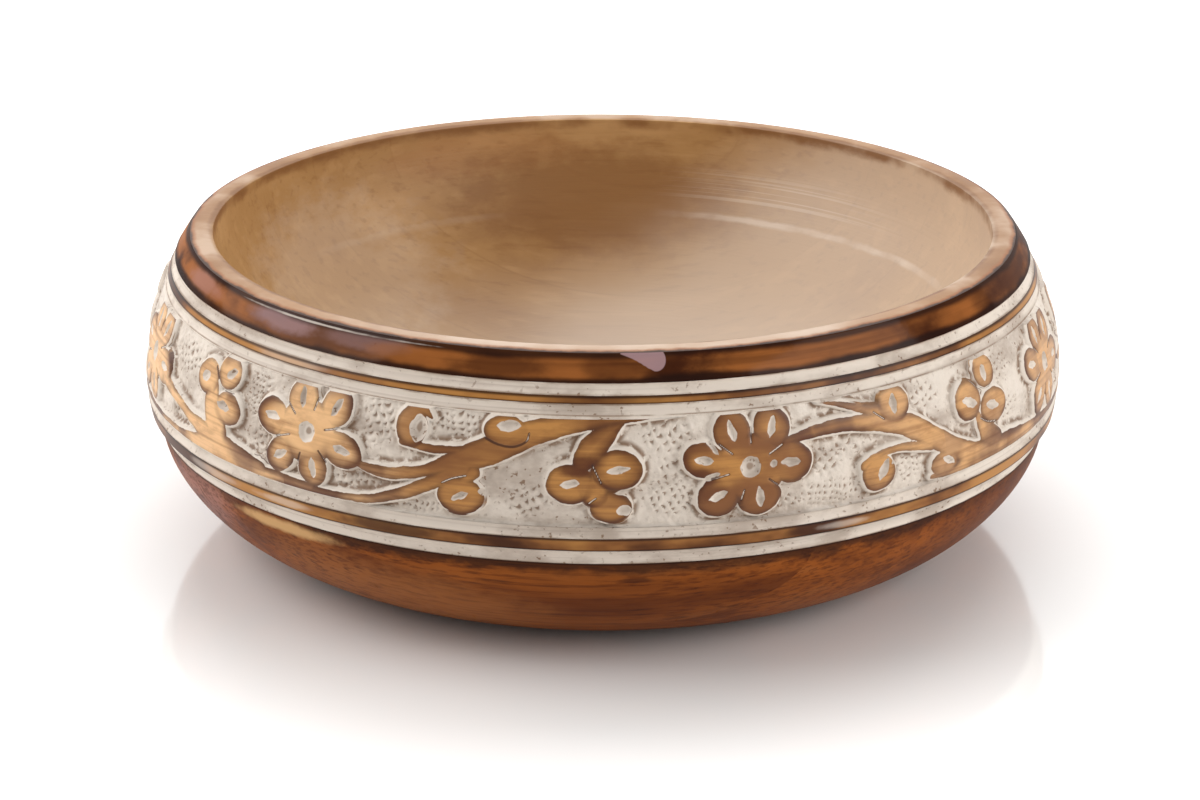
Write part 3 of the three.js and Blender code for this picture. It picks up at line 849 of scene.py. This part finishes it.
def base_finish(c):
    """Stained hardwood of the base, streaked along the grain and burnt under the groove."""
    w = Finish("Stained hardwood base under satin lacquer", 0.5, 0, 0.2, 0.1)
    figure = w.field((125, 25, 14.29), 4, over=w.grain)
    streaks = w.field((55.56, 2, 1.111), 4, 0.6, over=w.grain)
    top = w.edges[0]
    shown = w.stains(
        w.coats(c.stain_base, (c.stain_red, 0.7, (figure, 0.44, 0.64)),
                (c.stain_amber, 0.6, (figure, 0.46, 0.32))),
        # The pale spot at -62 degrees is painted sheen.
        (c.pale_mark, 0.35, -62, 32, 26, 12), (c.stain_amber, 0.6, -38, 28, 24, 8), (c.stain_amber, 1, -27, 14, 52, 15),
        (c.stain_red, 0.3, 4, 22, 46, 16), (c.stain_red, 0.6, 60, 30, 40, 16), (c.scorch, 0.6, 4, 33.4, 5, 1.2))
    middle = w.add("Math", [w.where((w.x, -112, -82), (w.x, 130, 100)), 0.35], operation="MAXIMUM")
    shown = w.coats(
        shown,
        (c.stain_red, 0.55, (streaks, 0.46, 0.6)),
        (c.scorch, 0.5, (streaks, 0.6, 0.7)),
        (c.scorch, 0.78, (w.z, top - 0.5, top + 3.3, w.blur, 9), middle))
    shown = w.stains(shown, (c.tan, 0.95, -42, 36.2, 22, 2.2), (c.stain_amber, 0.5, -21, 20, 30, 12))
    shown = w.coats(shown, (c.scorch, 0.7, (w.z, top - 0.8, top - 0.2)))
    return w.done(shown, (w.lines(1.4), 0.05), (w.field((16.67, 1.111, 1.111), over=w.grain), 0.04))


def foot_finish(c):
    """Underside and joint faces: sanded wood left unfinished."""
    w = Finish("Sanded unfinished hardwood", 0.6, 0, 0.3)
    shown = w.coats(c.pale_wood, (c.dark_figure_and_shade, 1, (w.field((100, 16.67, 16.67), 4, over=w.grain), 0.4, 0.7)))
    return w.done(shown, (w.field((16.67, 1.111, 1.111), over=w.grain), 0.05))


BASE, LIME, FILLET, FRIEZE, RIM, INSIDE, FOOT = range(7)
FINISHES = [base_finish, lime_finish, fillet_finish, frieze_finish, rim_finish, inside_finish, foot_finish]


class BOWL_OT_finish(bpy.types.Operator):
    """Stain, lime and lacquer the bowl zone by zone"""

    bl_idname = "bowl.finish"
    bl_label = "Finish the surfaces"

    def execute(self, context):
        size = context.scene.bowl_turning
        mesh = bpy.data.objects["turned_bowl"].data
        for make in FINISHES:
            mesh.materials.append(make(context.scene.bowl_finish))
        count = len(mesh.polygons)
        middles, normals = np.empty(count * 3), np.empty(count * 3)
        mesh.polygons.foreach_get("center", middles)
        mesh.polygons.foreach_get("normal", normals)
        middles, normals = middles.reshape(-1, 3), normals.reshape(-1, 3)
        radius, z = polar(middles), middles[:, 2]
        outward = (middles[:, :2] * normals[:, :2]).sum(1) / np.maximum(radius, MM)
        zones = np.full(count, INSIDE)
        edges = band_edges(size)
        outside = (outward > 0.02) & (z < edges[8])
        order = [BASE, LIME, FILLET, LIME, FRIEZE, LIME, FILLET, LIME, RIM]
        step = np.searchsorted(np.array(edges), z[outside])
        zones[outside] = np.array(order)[np.minimum(step, 8)]
        zones[(normals[:, 2] < -0.9) & (z < 0.3 * MM)] = FOOT
        mesh.polygons.foreach_set("material_index", zones.astype(np.int32))
        mesh.update()
        return {"FINISHED"}


def joint_planes(boards, size):
    """Distances of the glue lines from the axis, along the direction in which the boards are stacked."""
    thickness = 2 * size.belly_radius / boards.count
    return [i * thickness - size.belly_radius + boards.offset for i in range(1, boards.count)]


class BOWL_OT_boards(bpy.types.Operator):
    """Part the bowl along its glue lines into the boards that it was made of"""

    bl_idname = "bowl.boards"
    bl_label = "Part the boards"

    def execute(self, context):
        size, boards = context.scene.bowl_turning, context.scene.bowl_boards
        planes = joint_planes(boards, size)
        across = Vector((math.sin(boards.turn), math.cos(boards.turn), 0))
        bowl = bpy.data.objects["turned_bowl"]
        bpy.ops.object.select_all(action="DESELECT")
        bowl.select_set(True)
        context.view_layer.objects.active = bowl
        mode("EDIT")
        for plane in planes:
            bpy.ops.mesh.select_all(action="SELECT")
            bpy.ops.mesh.bisect(plane_co=across * plane, plane_no=across, threshold=0.0005 * MM)
            bpy.ops.mesh.edge_split(type="EDGE")
        bpy.ops.mesh.separate(type="LOOSE")
        mode("OBJECT")
        groups = {}
        for part in list(context.selected_objects):
            middle = float((read_points(part.data) @ np.array(across)).mean())
            groups.setdefault(sum(middle > plane for plane in planes), []).append(part)
        if sorted(groups) != list(range(boards.count)):
            raise RuntimeError("the bowl did not part into its boards")
        for number, parts in sorted(groups.items()):
            self.close(context, parts, across, boards.seam, f"{number + 1:02d}")
        return {"FINISHED"}

    def close(self, context, parts, across, seam, number):
        """Join what belongs to one board, close its sawn faces and put it in the frame."""
        parts.sort(key=lambda part: -len(part.data.vertices))
        bpy.ops.object.select_all(action="DESELECT")
        for part in parts:
            part.select_set(True)
        board = parts[0]
        context.view_layer.objects.active = board
        if len(parts) > 1:
            bpy.ops.object.join()
        mode("EDIT")
        bpy.ops.mesh.select_mode(type="EDGE")
        bpy.ops.mesh.select_all(action="DESELECT")
        bpy.ops.mesh.select_non_manifold()
        bpy.ops.mesh.fill_holes(sides=0)
        bpy.ops.mesh.select_mode(type="FACE")
        for way in (1, -1):
            mode("OBJECT")
            for face in board.data.polygons:
                face.select = face.loop_total > 8 and face.normal.dot(across) * way > 0.5
            mode("EDIT")
            if not board.data.total_face_sel:
                continue
            bpy.ops.mesh.mark_sharp()
            board.active_material_index = FOOT
            bpy.ops.object.material_slot_assign()
            bpy.ops.transform.translate(value=across * (-way * seam / 2))
        mode("OBJECT")
        board.name = "carved_board_" + number
        board.data.name = board.name
        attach(board, "root")
        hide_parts("board_" + number)


# Name, place, the point that it faces, width, height (all in metres) and power in watts of each lamp.
SOFTBOXES = (("left_softbox", (-1.1, 0.05, 0.85), (0, 0, 0.05), 1.3, 1, 13),
             ("right_softbox", (1.1, -0.5, 0.6), (0, 0, 0.07), 1, 0.8, 8.5),
             ("top_softbox", (0.1, 0.9, 1.4), (0, 0, 0.05), 1.6, 1, 12.5))
# The camera that was fitted to the photo: place in metres, its turns about its own axes in degrees, and its
# focal length in millimetres on a sensor of full width.
CAMERA_PLACE = (0, -1.1399, 0.4437)
CAMERA_TURNS = (("Z", 0.04), ("X", 90 - 19.547), ("Z", 0.126))
CAMERA_LENS, SENSOR_WIDTH = 107.56, 36
# Distances from the bowl between which the floor begins to glow.
GLOW_START, GLOW_FULL = 0.13, 0.32


def studio_white(name, glow):
    """A studio material that glows white by a number or by a node of its own, and its shader."""
    material = bpy.data.materials.new(name)
    material.use_nodes = True
    shader = material.node_tree.nodes["Principled BSDF"]
    shader.inputs["Emission Color"].default_value = (1, 1, 1, 1)
    shader.inputs["Emission Strength"].default_value = glow
    return material, shader


class BOWL_OT_stage(bpy.types.Operator):
    """Set the floor, the soft lights and the camera"""

    bl_idname = "bowl.stage"
    bl_label = "Set the stage"

    def execute(self, context):
        bpy.ops.object.select_all(action="DESELECT")
        bpy.ops.mesh.primitive_plane_add(size=12)
        floor = context.object
        floor.name = "studio_floor"
        white, shader = studio_white("White acrylic floor, glowing white further out", 0)
        shader.inputs["Base Color"].default_value = linear("#f4f2f0")
        shader.inputs["Roughness"].default_value = 0.1
        shader.inputs["IOR"].default_value = 1.9
        # Painted light: the floor glows for the camera only, more further from the bowl.
        place = add(white, "TexCoord", out="Object")
        away = add(white, "VectorMath", [place], "Value", operation="LENGTH")
        far = add(white, "MapRange", [away, GLOW_START, GLOW_FULL, 0, 0.6], interpolation_type="SMOOTHSTEP")
        seen = add(white, "LightPath", out="Is Camera Ray")
        glow = add(white, "Math", [seen, far], operation="MULTIPLY")
        white.node_tree.links.new(glow, shader.inputs["Emission Strength"])
        floor.data.materials.append(white)
        bpy.ops.mesh.primitive_plane_add(size=1, location=(0, 3, 1.2), rotation=(math.pi / 2, 0, 0))
        wall = context.object
        wall.name = "studio_wall"
        wall.scale = (9, 2.6, 1)
        bpy.ops.object.transform_apply(location=True, rotation=True, scale=True)
        wall.data.materials.append(studio_white("Lit white backdrop", 0.8)[0])

        for name, place, aim, wide, high, power in SOFTBOXES:
            bpy.ops.object.light_add(type="AREA", location=place)
            lamp = context.object
            lamp.name = name
            lamp.data.shape = "RECTANGLE"
            lamp.data.size, lamp.data.size_y = wide, high
            lamp.data.energy = power
            lamp.rotation_euler = (Vector(aim) - Vector(place)).to_track_quat("-Z", "Y").to_euler()

        world = bpy.data.worlds.new("studio_world")
        context.scene.world = world
        world.use_nodes = True
        background = world.node_tree.nodes["Background"]
        background.inputs["Color"].default_value = (1, 1, 1, 1)
        background.inputs["Strength"].default_value = 0.5

        context.scene.view_settings.view_transform = "Standard"
        bpy.ops.object.camera_add()
        camera = context.object
        camera.name = "photo_camera"
        camera.data.sensor_width = SENSOR_WIDTH
        camera.data.lens = CAMERA_LENS
        camera.data.clip_end = 20
        placed = Matrix.Translation(CAMERA_PLACE)
        for axis, degrees in CAMERA_TURNS:
            placed = placed @ Matrix.Rotation(math.radians(degrees), 4, axis)
        camera.matrix_world = placed
        context.scene.camera = camera
        return {"FINISHED"}


class BOWL_PT_panel(bpy.types.Panel):
    """Sizes, colours and steps of the bowl"""

    bl_idname = "BOWL_PT_panel"
    bl_label = "Serving bowl"
    bl_space_type = "VIEW_3D"
    bl_region_type = "UI"
    bl_category = "Bowl"

    def draw(self, context):
        for name in GROUPS:
            settings = getattr(context.scene, name)
            for key in settings.__annotations__:
                self.layout.prop(settings, key)
        for step in STEPS:
            self.layout.operator(step.bl_idname)


GROUPS = {"bowl_turning": BowlTurning, "bowl_boards": BowlBoards, "bowl_carving": BowlCarving,
          "bowl_finish": BowlFinish}
STEPS = (BOWL_OT_turn, BOWL_OT_carve, BOWL_OT_finish, BOWL_OT_boards, BOWL_OT_stage)


def register():
    """Add the settings, the steps and the panel."""
    for kind in (*GROUPS.values(), *STEPS, BOWL_PT_panel):
        bpy.utils.register_class(kind)
    for name, group in GROUPS.items():
        setattr(bpy.types.Scene, name, PointerProperty(type=group))


def unregister():
    """Take away what register added."""
    for name in GROUPS:
        delattr(bpy.types.Scene, name)
    for kind in reversed((*GROUPS.values(), *STEPS, BOWL_PT_panel)):
        bpy.utils.unregister_class(kind)


def main():
    """Make the bowl and its stage."""
    register()
    bpy.ops.bowl.turn()
    bpy.ops.bowl.carve()
    bpy.ops.bowl.finish()
    bpy.ops.bowl.boards()
    bpy.ops.bowl.stage()


if __name__ == "__main__":
    main()
